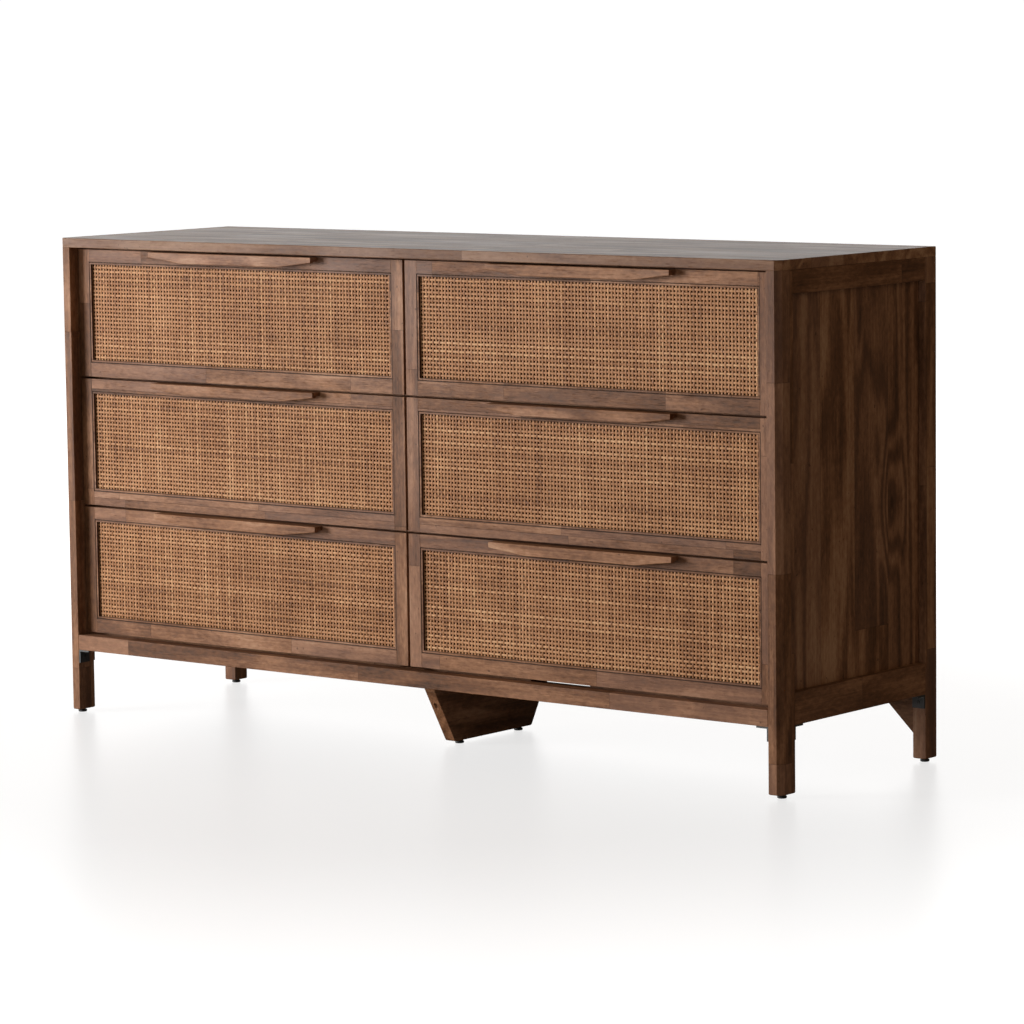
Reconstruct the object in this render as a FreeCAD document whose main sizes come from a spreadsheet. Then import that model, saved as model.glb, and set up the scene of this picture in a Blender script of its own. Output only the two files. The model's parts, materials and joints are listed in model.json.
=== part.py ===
import FreeCAD, Part
import math
import os
import re
import Sketcher

# Six-drawer dresser: a wood carcass on legs, six cane-fronted drawers on ball-bearing runners.
# Frame: millimetres, +Z up, origin on the floor under the middle of the footprint, front towards -Y.

Vector = FreeCAD.Vector
doc = FreeCAD.newDocument("Dresser")
sheet = doc.addObject("Spreadsheet::Sheet", "Dims")

DIMENSIONS = {
    # carcass
    "overall_width": 1600, "overall_depth": 460, "overall_height": 875,
    "top_thickness": 17, "corner_chamfer": 9.5,
    "edge_ease": 1.2, "fine_ease": 0.4, "foot_ease": 2.5,
    "leg_width": 26, "front_leg_depth": 40, "rear_leg_depth": 34,
    "rail_underside": 118, "rail_depth": 26, "lower_rail_height": 28, "upper_rail_height": 22,
    "side_lower_height": 54, "side_upper_height": 39,
    "divider_depth": 45, "divider_height": 18, "divider_setback": 1.5,
    "notch_start": 251, "notch_length": 127, "notch_depth": 10,
    "panel_recess": 13, "panel_thickness": 8, "tongue_length": 6, "groove_depth": 6.5, "groove_slack": 0.2,
    "partition_thickness": 24, "back_thickness": 6, "back_inset": 10,
    # drawers
    "front_recess": 22, "front_thickness": 20, "front_height": 232,
    "side_gap": 1.5, "centre_gap": 5, "row_gap": 4,
    "stile_width": 26, "front_top_rail": 23, "front_bottom_rail": 26,
    "bead_width": 3.5, "bead_depth": 4, "bead_gap": 0.7, "bead_setback": 0.5, "cane_recess": 4.5,
    "pull_length": 385, "pull_depth": 20, "pull_height": 19, "pull_end_height": 9.5,
    "pull_taper": 78, "pull_lip": 9, "pull_flange": 7,
    "tray_length": 378, "tray_height": 190, "tray_lift": 12, "tray_board": 15,
    "tray_floor": 6, "tray_floor_lift": 10,
    # runners
    "runner_space": 13, "runner_length": 376, "runner_lift": 60, "runner_wall": 1.3,
    "cabinet_height": 45, "cabinet_depth": 9, "middle_height": 35, "middle_offset": 4.5, "middle_depth": 6,
    "inner_height": 24, "inner_depth": 5, "middle_shortening": 12,
    # underside
    "support_thickness": 22, "support_offset": 12, "support_base": 216, "support_spread": 64, "support_setback": 3,
    "support_corner": 6, "support_bore": 4, "support_screw_inset": 38, "support_screw_rise": 28,
    "stretcher_width": 60,
    "brace_width": 72, "brace_height": 68, "brace_thickness": 16, "brace_setback": 1,
    "bracket_flange": 24, "bracket_width": 24, "bracket_wall": 3, "bracket_setback": 0.8,
    "bracket_screw_drop": 13,
    "glide_height": 6.5, "glide_radius": 8, "support_glide_spread": 166,
    "screw_head_radius": 3.5, "screw_head_height": 1.6, "screw_shank_radius": 1.6, "screw_shank_length": 16,
    "support_screw_head": 3.6, "support_screw_length": 44,
}

for row, (alias, value) in enumerate(DIMENSIONS.items(), start=1):
    sheet.set(f"A{row}", alias)
    sheet.set(f"B{row}", str(value))
    sheet.setAlias(f"B{row}", alias)
doc.recompute()

ROWS = ("top", "middle", "bottom")
COLUMNS = {"left": -1, "right": 1}

# Faces and levels that several sub-parts share
HALF_WIDTH = "overall_width / 2"
HALF_DEPTH = "overall_depth / 2"
LEG_INNER = "(overall_width / 2 - leg_width)"
CASE_TOP = "(overall_height - top_thickness)"
FRONT_LEG_BACK = "(-overall_depth / 2 + front_leg_depth)"
REAR_LEG_FRONT = "(overall_depth / 2 - rear_leg_depth)"
FRONT_FACE = "(-overall_depth / 2 + front_recess)"
FRONT_BACK = f"({FRONT_FACE} + front_thickness)"
CASE_FRONT = f"({FRONT_BACK} + divider_setback)"
BACK_FACE = "(overall_depth / 2 - back_inset - back_thickness)"
STRETCHER_FRONT = "(-overall_depth / 2 + rail_depth)"
STRETCHER_BACK = f"({BACK_FACE} - rail_depth)"
SUPPORT_MIDDLE = f"(({STRETCHER_FRONT} + {STRETCHER_BACK}) / 2 + support_setback)"
LOWER_RAIL_TOP = "(rail_underside + lower_rail_height)"
FRONT_WIDTH = f"({LEG_INNER} - side_gap - centre_gap / 2)"
BAY_WIDTH = f"({LEG_INNER} - partition_thickness / 2)"
TRAY_WIDTH = f"({BAY_WIDTH} - 2 * runner_space)"
SIDE_PANEL_X = f"({HALF_WIDTH} - panel_recess - panel_thickness)"

nodes = []


def bound(text):
    """Expression text with every alias pointing at the sheet."""
    return re.sub(r"[a-z]+(?:_[a-z]+)+", r"Dims.\g<0>", text)


def bind(item, prop, text):
    item.setExpression(prop, bound(text))


def place(item, x="0", y="0", z="0"):
    for axis, text in zip("xyz", (x, y, z)):
        bind(item, f"Placement.Base.{axis}", text)


def node(item, name):
    """Marks an object as one sub-part to be written under its name."""
    item.Label = name
    nodes.append(item)
    return item


def mirrored(side, start, width):
    """Left edge of something that spans start to start + width from the middle, on either side."""
    if side > 0:
        return start
    return f"-({start}) - ({width})"


def box(name, size, corner):
    item = doc.addObject("Part::Box", name)
    for prop, text in zip(("Length", "Width", "Height"), size):
        bind(item, prop, text)
    place(item, *corner)
    return item


def eased(base, name, radius="edge_ease"):
    """Every edge of a board broken by a small round."""
    doc.recompute()
    item = doc.addObject("Part::Fillet", name)
    item.Base = base
    size = sheet.get(radius)
    item.Edges = [(number + 1, size, size) for number in range(len(base.Shape.Edges))]
    return item


def board(name, size, corner, radius="edge_ease"):
    return eased(box(name + "_blank", size, corner), name, radius)


def cut(name, base, tool):
    item = doc.addObject("Part::Cut", name)
    item.Base = base
    item.Tool = tool
    return item


def group(name, members):
    item = doc.addObject("Part::Compound", name)
    item.Links = members
    return item


def new_body(name):
    return doc.addObject("PartDesign::Body", name)


def outline(body, plane, points, name):
    """A closed sketch on one of the body's own planes, each corner held by two bound distances."""
    sketch = body.newObject("Sketcher::SketchObject", name)
    support = [item for item in body.Origin.OriginFeatures if item.Role == plane][0]
    sketch.AttachmentSupport = [(support, "")]
    sketch.MapMode = "FlatFace"
    count = len(points)
    # A rough ring first: the bound distances then carry each corner to its place
    ring = [Vector(math.cos(2 * math.pi * turn / count), math.sin(2 * math.pi * turn / count), 0)
            for turn in range(count)]
    for turn in range(count):
        sketch.addGeometry(Part.LineSegment(ring[turn], ring[(turn + 1) % count]))
    for turn in range(count):
        sketch.addConstraint(Sketcher.Constraint("Coincident", turn, 2, (turn + 1) % count, 1))
    for turn, (across, up) in enumerate(points):
        for kind, text, value in (("DistanceX", across, ring[turn].x), ("DistanceY", up, ring[turn].y)):
            number = sketch.addConstraint(Sketcher.Constraint(kind, -1, 1, turn, 1, value))
            bind(sketch, f"Constraints[{number}]", text)
    return sketch


def pad(body, sketch, length, name, middle=False):
    item = body.newObject("PartDesign::Pad", name)
    item.Profile = sketch
    item.Midplane = middle
    bind(item, "Length", length)
    body.Tip = item
    return item


def round_edges(body, base, radius, chosen, name):
    """A PartDesign fillet on the edges that the test picks."""
    doc.recompute()
    names = [f"Edge{number + 1}" for number, edge in enumerate(base.Shape.Edges) if chosen(edge)]
    item = body.newObject("PartDesign::Fillet", name)
    item.Base = (base, names)
    bind(item, "Radius", radius)
    body.Tip = item
    return item


def level(edge):
    return edge.BoundBox.ZLength < 1e-6


def make_top():
    """One slab over the whole footprint, its two front corners cut at 45 degrees."""
    body = new_body("top_body")
    points = [(f"-{HALF_WIDTH}", HALF_DEPTH),
              (f"-{HALF_WIDTH}", f"-{HALF_DEPTH} + corner_chamfer"),
              (f"-{HALF_WIDTH} + corner_chamfer", f"-{HALF_DEPTH}"),
              (f"{HALF_WIDTH} - corner_chamfer", f"-{HALF_DEPTH}"),
              (HALF_WIDTH, f"-{HALF_DEPTH} + corner_chamfer"),
              (HALF_WIDTH, HALF_DEPTH)]
    slab = pad(body, outline(body, "XY_Plane", points, "top_outline"), "top_thickness", "top_slab")
    round_edges(body, slab, "edge_ease", lambda edge: True, "top_ease")
    place(body, z=CASE_TOP)
    node(body, "top_panel")


def make_leg(name, side, front):
    """A post from the glide to the slab, with a stopped groove for the side panel."""
    body = new_body(name + "_body")
    outer = f"{side} * {HALF_WIDTH}"
    inner = f"{side} * {LEG_INNER}"
    if front:
        near = f"-{HALF_DEPTH}"
        points = [(inner, near),
                  (f"{side} * ({HALF_WIDTH} - corner_chamfer)", near),
                  (outer, f"{near} + corner_chamfer"),
                  (outer, FRONT_LEG_BACK),
                  (inner, FRONT_LEG_BACK)]
        groove_y = f"{FRONT_LEG_BACK} - groove_depth"
    else:
        points = [(inner, REAR_LEG_FRONT), (outer, REAR_LEG_FRONT), (outer, HALF_DEPTH), (inner, HALF_DEPTH)]
        groove_y = REAR_LEG_FRONT
    post = pad(body, outline(body, "XY_Plane", points, name + "_outline"),
               f"{CASE_TOP} - glide_height", name + "_post")
    upright = round_edges(body, post, "edge_ease", lambda edge: not level(edge), name + "_ease")
    round_edges(body, upright, "foot_ease",
                lambda edge: level(edge) and edge.BoundBox.ZMax < 1, name + "_foot")
    place(body, z="glide_height")
    groove = box(name + "_groove",
                 ("panel_thickness + 2 * groove_slack", "groove_depth",
                  f"{CASE_TOP} - side_upper_height - rail_underside - side_lower_height + 2 * groove_depth"),
                 (mirrored(side, f"{SIDE_PANEL_X} - groove_slack", "panel_thickness + 2 * groove_slack"),
                  groove_y, "rail_underside + side_lower_height - groove_depth"))
    node(cut(name, body, groove), name)


def make_side(side_name, side):
    """Frame-and-panel side: two rails between the posts and a panel held in their grooves."""
    span = f"({REAR_LEG_FRONT} - {FRONT_LEG_BACK})"
    rail_x = mirrored(side, LEG_INNER, "leg_width")
    groove_x = mirrored(side, f"{SIDE_PANEL_X} - groove_slack", "panel_thickness + 2 * groove_slack")
    levels = {"upper": (f"{CASE_TOP} - side_upper_height", "side_upper_height", "0"),
              "lower": ("rail_underside", "side_lower_height", "side_lower_height - groove_depth")}
    for kind, (bottom, height, groove_rise) in levels.items():
        name = f"side_{kind}_rail_{side_name}"
        rail = board(name + "_rail", ("leg_width", span, height), (rail_x, FRONT_LEG_BACK, bottom))
        groove = box(name + "_groove", ("panel_thickness + 2 * groove_slack", span, "groove_depth"),
                     (groove_x, FRONT_LEG_BACK, f"{bottom} + {groove_rise}"))
        node(cut(name, rail, groove), name)
    name = f"side_panel_{side_name}"
    panel = board(name,
                  ("panel_thickness", f"{span} + 2 * tongue_length",
                   f"{CASE_TOP} - side_upper_height - rail_underside - side_lower_height + 2 * tongue_length"),
                  (mirrored(side, SIDE_PANEL_X, "panel_thickness"), f"{FRONT_LEG_BACK} - tongue_length",
                   "rail_underside + side_lower_height - tongue_length"), "fine_ease")
    node(panel, name)


def make_case_frame():
    """Rails across the case, the partition between the two bays and the back."""
    across = f"2 * {LEG_INNER}"
    start = f"-{LEG_INNER}"
    node(board("front_lower_rail", (across, "rail_depth", "lower_rail_height"),
               (start, f"-{HALF_DEPTH}", "rail_underside")), "front_lower_rail")
    node(board("back_lower_rail", (across, "rail_depth", "lower_rail_height"),
               (start, f"{BACK_FACE} - rail_depth", "rail_underside"), "fine_ease"), "back_lower_rail")
    upper = [board(f"upper_rail_{place_name}", (across, "rail_depth", "upper_rail_height"),
                   (start, where, f"{CASE_TOP} - upper_rail_height"), "fine_ease")
             for place_name, where in (("front", CASE_FRONT), ("back", f"{BACK_FACE} - rail_depth"))]
    node(group("upper_rails", upper), "upper_rails")
    dividers = []
    for row in (1, 2):
        rise = f"{LOWER_RAIL_TOP} + {row} * (front_height + row_gap) + row_gap / 2 - divider_height / 2"
        dividers.append(board(f"divider_{row}", (across, "divider_depth", "divider_height"),
                              (start, CASE_FRONT, rise), "fine_ease"))
    # Behind the front rail a sill closes each bay up to the stretcher; the right one has a shallow notch
    sills = [board(f"sill_{side}", (f"{LEG_INNER} - stretcher_width / 2", "divider_depth", "divider_height"),
                   (where, CASE_FRONT, f"{LOWER_RAIL_TOP} - divider_height"), "fine_ease")
             for side, where in (("left", start), ("right", "stretcher_width / 2"))]
    sills[1] = cut("sill_notched", sills[1],
                   box("sill_notch", ("notch_length", "divider_depth", "notch_depth"),
                       ("notch_start", CASE_FRONT, f"{LOWER_RAIL_TOP} - notch_depth")))
    node(group("divider_rails", dividers + sills), "divider_rails")
    wall = box("partition_blank",
               ("partition_thickness", f"{BACK_FACE} - {CASE_FRONT}", f"{CASE_TOP} - {LOWER_RAIL_TOP}"),
               ("-partition_thickness / 2", CASE_FRONT, LOWER_RAIL_TOP))
    # The rails that cross the partition are let into it at their full, square section
    notches = group("partition_notches", [item.Base for item in upper + dividers])
    node(cut("centre_partition", wall, notches), "centre_partition")
    node(box("back_panel", (across, "back_thickness", f"{CASE_TOP} - rail_underside"),
             (start, BACK_FACE, "rail_underside")), "back_panel")
    node(board("bottom_stretcher",
               ("stretcher_width", f"{STRETCHER_BACK} - {STRETCHER_FRONT}", "lower_rail_height"),
               ("-stretcher_width / 2", STRETCHER_FRONT, "rail_underside"), "fine_ease"), "bottom_stretcher")


def make_support():
    """Tapered board under the stretcher, with a screw bore up through each sloping end."""
    body = new_body("support_body")
    base = "support_base / 2"
    rise = "rail_underside - glide_height"
    points = [(f"-{base}", "0"), (base, "0"),
              (f"{base} + support_spread", rise), (f"-{base} - support_spread", rise)]
    plate = pad(body, outline(body, "YZ_Plane", points, "support_outline"), "support_thickness",
                "support_plate", middle=True)
    corners = round_edges(body, plate, "support_corner",
                          lambda edge: edge.BoundBox.ZMax < 1 and edge.BoundBox.XLength > 1, "support_corners")
    round_edges(body, corners, "edge_ease",
                lambda edge: edge.BoundBox.ZMax - edge.BoundBox.ZMin > 20, "support_ease")
    place(body, "support_offset", SUPPORT_MIDDLE, "glide_height")
    bores = []
    for end in (-1, 1):
        bore = doc.addObject("Part::Cylinder", f"support_bore_{end + 1}")
        bind(bore, "Radius", "support_bore")
        bind(bore, "Height", f"{rise} - support_screw_rise")
        place(bore, "support_offset", f"{SUPPORT_MIDDLE} + {end} * ({base} + support_screw_inset)",
              "glide_height")
        bores.append(bore)
    node(cut("centre_support", body, group("support_bores", bores)), "centre_support")


def make_braces():
    """Triangular blocks in the corners between the rear legs and the back rail."""
    braces = []
    for side in (-1, 1):
        body = new_body(f"brace_{side + 1}")
        points = [(f"{side} * {LEG_INNER}", "rail_underside"),
                  (f"{side} * ({LEG_INNER} - brace_width)", "rail_underside"),
                  (f"{side} * {LEG_INNER}", "rail_underside - brace_height")]
        pad(body, outline(body, "XZ_Plane", points, f"brace_outline_{side + 1}"), "brace_thickness",
            f"brace_block_{side + 1}")
        place(body, y=f"{REAR_LEG_FRONT} + brace_setback + brace_thickness")
        braces.append(body)
    node(group("rear_braces", braces), "rear_braces")


def bracket_plates(name, spine, shelf):
    """Two flanges of one folded bracket: an upright on the leg and a shelf under the rail."""
    upright = box(name + "_upright", spine[0], spine[1])
    flat = box(name + "_flat", shelf[0], shelf[1])
    fold = doc.addObject("Part::Fuse", name)
    fold.Base = upright
    fold.Tool = flat
    return fold


def make_brackets_and_screws():
    """Six folded steel brackets under the rails at the legs, and the screws that are seen."""
    brackets = []
    screws = []
    flange_bottom = "(rail_underside - bracket_flange)"
    for side in (-1, 1):
        # Under the front rail, on the leg's inner face
        near = f"-{HALF_DEPTH} + bracket_setback"
        spine = (("bracket_wall", "bracket_width", "bracket_flange"),
                 (mirrored(side, f"{LEG_INNER} - bracket_wall", "bracket_wall"), near, flange_bottom))
        shelf = (("bracket_flange", "bracket_width", "bracket_wall"),
                 (mirrored(side, f"{LEG_INNER} - bracket_flange", "bracket_flange"), near,
                  "rail_underside - bracket_wall"))
        brackets.append(bracket_plates(f"front_bracket_{side + 1}", spine, shelf))
        centre_y = f"{near} + bracket_width / 2"
        screws.append(make_screw(f"front_leg_screw_{side + 1}", "Y", -90 * side,
                                 (f"{side} * ({LEG_INNER} - bracket_wall)", centre_y,
                                  "rail_underside - bracket_screw_drop")))
        screws.append(make_screw(f"front_rail_screw_{side + 1}", "Y", 180,
                                 (f"{side} * ({LEG_INNER} - bracket_screw_drop)", centre_y,
                                  "rail_underside - bracket_wall")))
        # Under the side rail, on the faces of the legs that look at each other
        for end, leg_face, turn in ((1, FRONT_LEG_BACK, -90), (-1, REAR_LEG_FRONT, 90)):
            start = f"{side} * ({HALF_WIDTH} - leg_width / 2) - bracket_width / 2"
            spine_y = leg_face if end > 0 else f"{leg_face} - bracket_wall"
            shelf_y = leg_face if end > 0 else f"{leg_face} - bracket_flange"
            spine = (("bracket_width", "bracket_wall", "bracket_flange"), (start, spine_y, flange_bottom))
            shelf = (("bracket_width", "bracket_flange", "bracket_wall"),
                     (start, shelf_y, "rail_underside - bracket_wall"))
            label = f"{side + 1}_{end + 1}"
            brackets.append(bracket_plates(f"side_bracket_{label}", spine, shelf))
            centre_x = f"{side} * ({HALF_WIDTH} - leg_width / 2)"
            screws.append(make_screw(f"side_leg_screw_{label}", "X", turn,
                                     (centre_x, f"{leg_face} + {end} * bracket_wall",
                                      "rail_underside - bracket_screw_drop")))
            screws.append(make_screw(f"side_rail_screw_{label}", "X", 180,
                                     (centre_x, f"{leg_face} + {end} * bracket_screw_drop",
                                      "rail_underside - bracket_wall")))
    bracket_group = group("bracket_blanks", brackets)
    node(cut("leg_brackets", bracket_group, group("screw_tools", screws)), "leg_brackets")
    for end in (-1, 1):
        screws.append(make_support_screw(end))
    node(group("screws", screws), "screws")


def make_screw(name, axis, turn, where):
    """Pan-head wood screw: its head stands on the steel and its shank goes into the wood."""
    head = doc.addObject("Part::Cylinder", name + "_head")
    bind(head, "Radius", "screw_head_radius")
    bind(head, "Height", "screw_head_height")
    shank = doc.addObject("Part::Cylinder", name + "_shank")
    bind(shank, "Radius", "screw_shank_radius")
    bind(shank, "Height", "screw_shank_length")
    place(shank, z="-screw_shank_length")
    item = doc.addObject("Part::Fuse", name)
    item.Base = head
    item.Tool = shank
    direction = Vector(1, 0, 0) if axis == "X" else Vector(0, 1, 0)
    item.Placement = FreeCAD.Placement(Vector(0, 0, 0), FreeCAD.Rotation(direction, turn))
    place(item, *where)
    return item


def make_support_screw(end):
    """Long screw that sits at the top of its bore and fastens the support to the stretcher."""
    name = f"support_screw_{end + 1}"
    head = doc.addObject("Part::Cylinder", name + "_head")
    bind(head, "Radius", "support_screw_head")
    bind(head, "Height", "screw_head_height")
    shank = doc.addObject("Part::Cylinder", name + "_shank")
    bind(shank, "Radius", "screw_shank_radius")
    bind(shank, "Height", "support_screw_length")
    item = doc.addObject("Part::Fuse", name)
    item.Base = head
    item.Tool = shank
    place(item, "support_offset",
          f"{SUPPORT_MIDDLE} + {end} * (support_base / 2 + support_screw_inset)",
          "rail_underside - support_screw_rise - screw_head_height")
    return item


def make_glides():
    """Round plastic feet: one under each leg and two under the centre support."""
    places = []
    for side in (-1, 1):
        x = f"{side} * ({HALF_WIDTH} - leg_width / 2)"
        places.append((x, f"-{HALF_DEPTH} + front_leg_depth / 2"))
        places.append((x, f"{HALF_DEPTH} - rear_leg_depth / 2"))
        places.append(("support_offset", f"{SUPPORT_MIDDLE} + {side} * support_glide_spread / 2"))
    glides = []
    for number, (x, y) in enumerate(places):
        disc = doc.addObject("Part::Cylinder", f"glide_{number}_disc")
        bind(disc, "Radius", "glide_radius")
        bind(disc, "Height", "glide_height")
        place(disc, x, y)
        glides.append(eased(disc, f"glide_{number}", "edge_ease"))
    node(group("glides", glides), "glides")


def channel(name, side, wall_x, depth, opens, height, start_y, length, centre_z):
    """Folded C channel along Y: a web at wall_x and two flanges that reach depth from its back."""
    body = new_body(name)
    half = f"({height}) / 2"
    inner = f"({half} - runner_wall)"
    web = f"{side} * ({wall_x})"
    lip = f"{side} * ({wall_x} + {opens} * ({depth}))"
    floor = f"{side} * ({wall_x} + {opens} * runner_wall)"
    points = [(web, f"-{half}"), (lip, f"-{half}"), (lip, f"-{inner}"), (floor, f"-{inner}"),
              (floor, inner), (lip, inner), (lip, half), (web, half)]
    pad(body, outline(body, "XZ_Plane", points, name + "_outline"), length, name + "_run")
    place(body, y=f"{start_y} + {length}", z=centre_z)
    return body


def make_drawer(row_number, row_name, column_name, column):
    """One drawer: framed cane front, pull, tray, and the runner members that move with it."""
    prefix = f"drawer_{row_name}_{column_name}"
    below = len(ROWS) - 1 - row_number
    bottom = f"({LOWER_RAIL_TOP} + row_gap + {below} * (front_height + row_gap))"
    left = f"({mirrored(column, 'centre_gap / 2', FRONT_WIDTH)})"
    opening_width = f"({FRONT_WIDTH} - 2 * stile_width)"
    opening_height = "(front_height - front_top_rail - front_bottom_rail)"
    opening_x = f"({left} + stile_width)"
    opening_z = f"({bottom} + front_bottom_rail)"

    # Frame: two full-height stiles, two rails between them, and a bead that stands just off them
    members = [
        board(prefix + "_stile_a", ("stile_width", "front_thickness", "front_height"),
              (left, FRONT_FACE, bottom), "fine_ease"),
        board(prefix + "_stile_b", ("stile_width", "front_thickness", "front_height"),
              (f"{left} + {FRONT_WIDTH} - stile_width", FRONT_FACE, bottom), "fine_ease"),
        board(prefix + "_rail_top", (opening_width, "front_thickness", "front_top_rail"),
              (opening_x, FRONT_FACE, f"{opening_z} + {opening_height}"), "fine_ease"),
        board(prefix + "_rail_bottom", (opening_width, "front_thickness", "front_bottom_rail"),
              (opening_x, FRONT_FACE, bottom), "fine_ease"),
    ]
    bead_y = f"{FRONT_FACE} + bead_setback"
    for number, rise in enumerate((f"{opening_z} + bead_gap",
                                   f"{opening_z} + {opening_height} - bead_gap - bead_width")):
        members.append(board(f"{prefix}_bead_level_{number}",
                             (f"{opening_width} - 2 * bead_gap", "bead_depth", "bead_width"),
                             (f"{opening_x} + bead_gap", bead_y, rise), "fine_ease"))
    for number, across in enumerate((f"{opening_x} + bead_gap",
                                     f"{opening_x} + {opening_width} - bead_gap - bead_width")):
        members.append(board(f"{prefix}_bead_upright_{number}",
                             ("bead_width", "bead_depth",
                              f"{opening_height} - 2 * bead_gap - 2 * bead_width"),
                             (across, bead_y, f"{opening_z} + bead_gap + bead_width"), "fine_ease"))
    node(group(prefix + "_front_frame", members), prefix + "_front_frame")

    # Cane webbing on its backing board, let into the frame from behind
    node(box(prefix + "_cane_panel",
             (opening_width, "front_thickness - cane_recess", opening_height),
             (opening_x, f"{FRONT_FACE} + cane_recess", opening_z)), prefix + "_cane_panel")

    make_pull(prefix, f"({left} + {FRONT_WIDTH} / 2)", f"({bottom} + front_height)")
    make_tray(prefix, column, bottom)

    centre_z = f"({bottom} + tray_lift + runner_lift)"
    start_y = f"({CASE_FRONT} + 1)"
    wall_faces = {"side": LEG_INNER, "middle": "(partition_thickness / 2)"}
    inner_members = []
    middle_members = []
    for wall, face in wall_faces.items():
        # u runs from the case wall towards the drawer
        toward = -1 if wall == "side" else 1
        tray_face = f"({face} + {toward} * runner_space)"
        inner_members.append(channel(f"{prefix}_inner_{wall}", column, tray_face, "inner_depth", -toward,
                                     "inner_height", start_y, "runner_length", centre_z))
        middle_members.append(channel(f"{prefix}_middle_{wall}", column,
                                      f"({face} + {toward} * middle_offset)", "middle_depth", toward,
                                      "middle_height", f"({start_y} + middle_shortening / 2)",
                                      "runner_length - middle_shortening", centre_z))
        cabinet_members.append(channel(f"{prefix}_cabinet_{wall}", column, face, "cabinet_depth", toward,
                                       "cabinet_height", start_y, "runner_length", centre_z))
    node(group(prefix + "_runner_inner", inner_members), prefix + "_runner_inner")
    node(group(prefix + "_runner_middle", middle_members), prefix + "_runner_middle")


def make_pull(prefix, centre_x, top_z):
    """Long wooden pull with tapered ends; a groove behind its lip takes the fingers."""
    body = new_body(prefix + "_pull_body")
    half = "pull_length / 2"
    flat = f"({half} - pull_taper)"
    points = [(f"-{half}", "0"), (f"-{half}", "-pull_end_height"), (f"-{flat}", "-pull_height"),
              (flat, "-pull_height"), (half, "-pull_end_height"), (half, "0")]
    bar = pad(body, outline(body, "XZ_Plane", points, prefix + "_pull_outline"), "pull_depth",
              prefix + "_pull_bar")
    groove = outline(body, "YZ_Plane",
                     [("-pull_depth + pull_lip", "-pull_height - 1"), ("1", "-pull_height - 1"),
                      ("1", "-pull_flange"), ("-pull_depth + pull_lip", "-pull_flange")],
                     prefix + "_pull_groove")
    pocket = body.newObject("PartDesign::Pocket", prefix + "_pull_pocket")
    pocket.Profile = groove
    pocket.Type = "ThroughAll"
    pocket.Midplane = True
    body.Tip = pocket
    round_edges(body, pocket, "edge_ease",
                lambda edge: edge.BoundBox.YMax < -1 and edge.BoundBox.XLength > 20, prefix + "_pull_ease")
    place(body, centre_x, FRONT_FACE, top_z)
    node(body, prefix + "_pull")
    pulls.append((bar, pocket))


def make_tray(prefix, column, bottom):
    """Open box of four boards and a thin floor, screwed to the back of the front frame."""
    left = f"({mirrored(column, 'partition_thickness / 2 + runner_space', TRAY_WIDTH)})"
    low = f"({bottom} + tray_lift)"
    inside = f"({TRAY_WIDTH} - 2 * tray_board)"
    boards = [
        box(prefix + "_tray_side_a", ("tray_board", "tray_length", "tray_height"),
            (left, FRONT_BACK, low)),
        box(prefix + "_tray_side_b", ("tray_board", "tray_length", "tray_height"),
            (f"{left} + {TRAY_WIDTH} - tray_board", FRONT_BACK, low)),
        box(prefix + "_tray_front", (inside, "tray_board", "tray_height"),
            (f"{left} + tray_board", FRONT_BACK, low)),
        box(prefix + "_tray_back", (inside, "tray_board", "tray_height"),
            (f"{left} + tray_board", f"{FRONT_BACK} + tray_length - tray_board", low)),
        box(prefix + "_tray_floor", (inside, "tray_length - 2 * tray_board", "tray_floor"),
            (f"{left} + tray_board", f"{FRONT_BACK} + tray_board", f"{low} + tray_floor_lift")),
    ]
    node(group(prefix + "_tray", boards), prefix + "_tray")


def check_model():
    """Stops on any failed object, sub-part or groove."""
    for item in doc.Objects:
        if "Invalid" in item.State or "Error" in item.State:
            raise RuntimeError(f"{item.Label} failed: {item.State}")
    for item in nodes:
        if item.Shape.isNull() or not item.Shape.isValid() or not item.Shape.Solids:
            raise RuntimeError(f"{item.Label} has no sound shape")
    for bar, pocket in pulls:
        if pocket.Shape.Volume >= bar.Shape.Volume - 1:
            raise RuntimeError(f"{pocket.Label} removed nothing")


cabinet_members = []
pulls = []

make_top()
for side_name, side in COLUMNS.items():
    make_leg(f"front_leg_{side_name}", side, front=True)
    make_leg(f"rear_leg_{side_name}", side, front=False)
    make_side(side_name, side)
make_case_frame()
make_support()
make_braces()
make_brackets_and_screws()
make_glides()
for row_number, row_name in enumerate(ROWS):
    for column_name, column in COLUMNS.items():
        make_drawer(row_number, row_name, column_name, column)
node(group("runner_cabinet_members", cabinet_members), "runner_cabinet_members")

doc.recompute()
check_model()

os.makedirs("parts", exist_ok=True)
for item in nodes:
    item.Shape.exportStep(f"parts/{item.Label}.step")
print(f"{len(nodes)} sub-parts written")
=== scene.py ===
# A low wide dresser: brown-washed wood case, six drawers with woven cane fronts on steel runners.
import json
import math
import bmesh
import bpy
from mathutils import Matrix, Vector

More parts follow.
